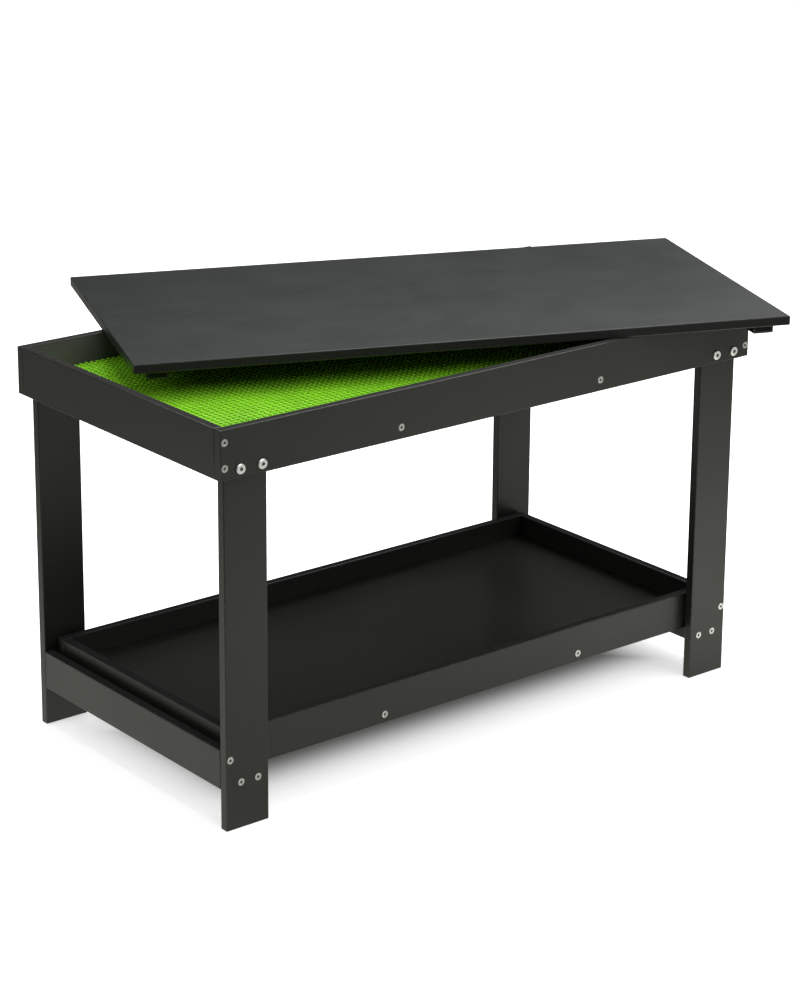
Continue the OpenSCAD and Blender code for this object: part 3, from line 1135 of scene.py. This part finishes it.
@dataclass
class Studio:
    """The white floor, the light round the table and the camera.

    Attributes:
        floor_half: Half of the floor's side in metres.
        floor_drop: Depth of the floor below the feet.
        floor_white: The floor's grey in plain light.
        floor_mirrored: Its grey in mirrored rays, where it only glows.
        near_lift: Its emission for the camera under the middle of the table.
        rim_lift: Its emission for the camera under the table's outline.
        far_lift: Its emission for the camera away from the table.
        shade_margin: How far the shade reaches past the table top along X, Y and Z in metres.
        pool: Where the shade's dark middle fades, in metres outside its outline.
        rim: Where its faint rim fades, in metres outside its outline.
        mirror_lift: The floor's emission in mirrored rays, without the glows.
        mirror_tint: Colour of that emission.
        glows: Brighter patches in mirrored rays.
        world_camera: Strength of the surroundings for the camera.
        world_diffuse: Their strength as a light.
        world_behind: Their strength in mirrored rays behind the table.
        world_front: Their strength in mirrored rays before the table.
        world_turn: Cosines of the angle to the rear between which that changes.
        behind: Level direction from the camera to the rear.
        lamps: The softboxes.
    """

    floor_half: float = 15.0
    floor_drop: float = 0.1 * MM
    floor_white: float = 0.82
    floor_mirrored: float = 0.0
    near_lift: float = 0.06
    rim_lift: float = 0.61
    far_lift: float = 1.0
    shade_margin: Sizes = (0.031, 0.0, 0.0)
    pool: Span = (-0.150, -0.072)
    rim: Span = (-0.02, 0.05)
    mirror_lift: float = 0.34
    mirror_tint: Colour = (1.0, 1.01, 0.90)
    glows: tuple[Glow, ...] = (
        Glow(x=0.85, y=-0.95, reach=0.75, strength=1.24),
        Glow(x=0.50, y=-0.45, reach=0.60, strength=1.22),
        Glow(x=0.0, y=-0.8, reach=0.70, strength=0.93),
        Glow(x=-0.75, y=0.10, reach=1.20, strength=0.77),
    )
    world_camera: float = 1.0
    world_diffuse: float = 0.15
    world_behind: float = 0.08
    world_front: float = 0.35
    world_turn: Span = (-0.5, 0.5)
    behind: Sizes = (0.63, 0.77, 0.0)
    lamps: tuple[Softbox, ...] = (
        Softbox("rear_softbox", place=(0.9, 0.9, 2.2), width=1.6, height=1.6, power=13.5),
        Softbox("overhead_softbox", place=(0.0, 0.0, 2.6), width=1.6, height=1.6, power=36.0),
        Softbox("left_softbox", place=(-0.5, -1.7, 2.3), width=2.2, height=1.6, power=18.0),
        Softbox("right_softbox", place=(1.0, -1.8, 2.0), width=1.6, height=1.6, power=22.0),
        Softbox("side_softbox", place=(1.5, 0.3, 2.0), width=1.6, height=1.6, power=16.0),
        Softbox("end_softbox", place=(-1.8, 0.3, 1.8), width=1.6, height=1.6, power=14.0),
    )

    def floor(self) -> None:
        """Makes the floor, which the camera sees as white except under the table, where the lamps' real
        shadow is deepened by a painted shadow in its emission.
        """
        form = bmesh.new()
        place = Matrix.Translation((0.0, 0.0, -self.floor_drop))
        bmesh.ops.create_grid(form, x_segments=1, y_segments=1, size=self.floor_half, matrix=place)
        floor = link_piece("floor", form)
        bench = Bench("floor_white")
        bench.shader.inputs["Roughness"].default_value = 1.0
        bench.shader.inputs["Specular IOR Level"].default_value = 0.0
        rays = bench.add("ShaderNodeLightPath")
        glossy = rays.outputs["Is Glossy Ray"]
        bench.join(bench.blend(glossy, WHITE, self.mirror_tint), bench.shader.inputs["Emission Color"])
        plain, mirrored = (self.floor_white,) * 3, (self.floor_mirrored,) * 3
        bench.join(bench.blend(glossy, plain, mirrored), bench.shader.inputs["Base Color"])
        # Painted shadow: the floor's emission for the camera drops under the table.
        shaded = bench.calculate("MULTIPLY", self.shade(bench), rays.outputs["Is Camera Ray"])
        glowing = bench.calculate("MULTIPLY", self.glow(bench), glossy)
        bench.join(bench.calculate("ADD", shaded, glowing), bench.shader.inputs["Emission Strength"])
        floor.data.materials.append(bench.material)

    def shade(self, bench: Bench) -> bpy.types.NodeSocket:
        """Works out the floor's emission for the camera, which is less under the table: a painted
        shadow.

        Args:
            bench: The floor's node tree.

        Returns:
            The emission.
        """
        outside = self.outside(bench)
        middle = bench.remap(outside, self.pool, (self.near_lift, self.rim_lift))
        rest = bench.remap(outside, self.rim, (0.0, self.far_lift - self.rim_lift))
        return bench.calculate("ADD", middle, rest)

    def glow(self, bench: Bench) -> bpy.types.NodeSocket:
        """Works out the floor's emission in mirrored rays, with its brighter patches.

        Args:
            bench: The floor's node tree.

        Returns:
            The emission.
        """
        total = self.mirror_lift
        for glow in self.glows:
            patch = bench.remap(self.distance(bench, glow), (0.0, glow.reach), (glow.strength, 0.0))
            total = bench.calculate("ADD", total, patch)
        return total

    def outside(self, bench: Bench) -> bpy.types.NodeSocket:
        """Works out how far a point of the floor lies outside the shade's outline.

        Args:
            bench: The floor's node tree.

        Returns:
            The larger of its distances along X and Y in metres, negative under the table.
        """
        low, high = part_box("front_apron")[0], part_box("rear_apron")[1]
        middle, half = (low + high) / 2, (high - low) / 2 + Vector(self.shade_margin)
        place = bench.add("ShaderNodeTexCoord").outputs["Object"]
        for operation, amount in (("SUBTRACT", middle), ("ABSOLUTE", None), ("SUBTRACT", half)):
            node = bench.add("ShaderNodeVectorMath", operation=operation)
            bench.join(place, node.inputs[FIRST])
            if amount is not None:
                node.inputs[SECOND].default_value = amount
            place = node.outputs["Vector"]
        split = bench.add("ShaderNodeSeparateXYZ")
        bench.join(place, split.inputs["Vector"])
        return bench.calculate("MAXIMUM", split.outputs["X"], split.outputs["Y"])

    def distance(self, bench: Bench, glow: Glow) -> bpy.types.NodeSocket:
        """Works out the distance from the middle of a glow.

        Args:
            bench: The floor's node tree.
            glow: The glow.

        Returns:
            The distance in metres.
        """
        coordinates = bench.add("ShaderNodeTexCoord")
        node = bench.add("ShaderNodeVectorMath", operation="DISTANCE")
        bench.join(coordinates.outputs["Object"], node.inputs[FIRST])
        node.inputs[SECOND].default_value = (glow.x, glow.y, 0.0)
        return node.outputs["Value"]

    def world(self) -> None:
        """Makes the surroundings: white for the camera, dim as a light, dark in mirrors to the rear."""
        world = bpy.data.worlds.new("studio_world")
        world.use_nodes = True
        nodes, links = world.node_tree.nodes, world.node_tree.links
        background = nodes["Background"]
        background.inputs["Color"].default_value = (*WHITE, 1.0)
        rays = nodes.new("ShaderNodeLightPath")
        coordinates = nodes.new("ShaderNodeTexCoord")
        facing = nodes.new("ShaderNodeVectorMath")
        facing.operation = "DOT_PRODUCT"
        facing.inputs[SECOND].default_value = self.behind
        links.new(coordinates.outputs["Generated"], facing.inputs[FIRST])
        turn = nodes.new("ShaderNodeMapRange")
        turn.interpolation_type = "SMOOTHSTEP"
        turn.inputs["From Min"].default_value, turn.inputs["From Max"].default_value = self.world_turn
        turn.inputs["To Min"].default_value = self.world_front
        turn.inputs["To Max"].default_value = self.world_behind
        links.new(facing.outputs["Value"], turn.inputs["Value"])
        mirrored = nodes.new("ShaderNodeMix")
        links.new(rays.outputs["Is Glossy Ray"], mirrored.inputs[NUMBER_FACTOR])
        mirrored.inputs[NUMBER_FIRST].default_value = self.world_diffuse
        links.new(turn.outputs["Result"], mirrored.inputs[NUMBER_SECOND])
        seen = nodes.new("ShaderNodeMix")
        links.new(rays.outputs["Is Camera Ray"], seen.inputs[NUMBER_FACTOR])
        links.new(mirrored.outputs[NUMBER_RESULT], seen.inputs[NUMBER_FIRST])
        seen.inputs[NUMBER_SECOND].default_value = self.world_camera
        links.new(seen.outputs[NUMBER_RESULT], background.inputs["Strength"])
        bpy.context.scene.world = world

    def build(self) -> None:
        """Makes the studio."""
        self.floor()
        self.world()
        for lamp in self.lamps:
            lamp.build()
        Viewpoint().build()
        bpy.context.scene.view_settings.view_transform = "Standard"


def main() -> None:
    """Builds the studio and the table."""
    logging.basicConfig(level=logging.INFO, format="%(name)s: %(message)s")
    Studio().build()
    for part in (TableTop(), Legs(), Shelf(), Hardware(), Lid()):
        pieces = part.build()
        log.info("%s: %d pieces", type(part).__name__, len(pieces))


if __name__ == "__main__":
    main()
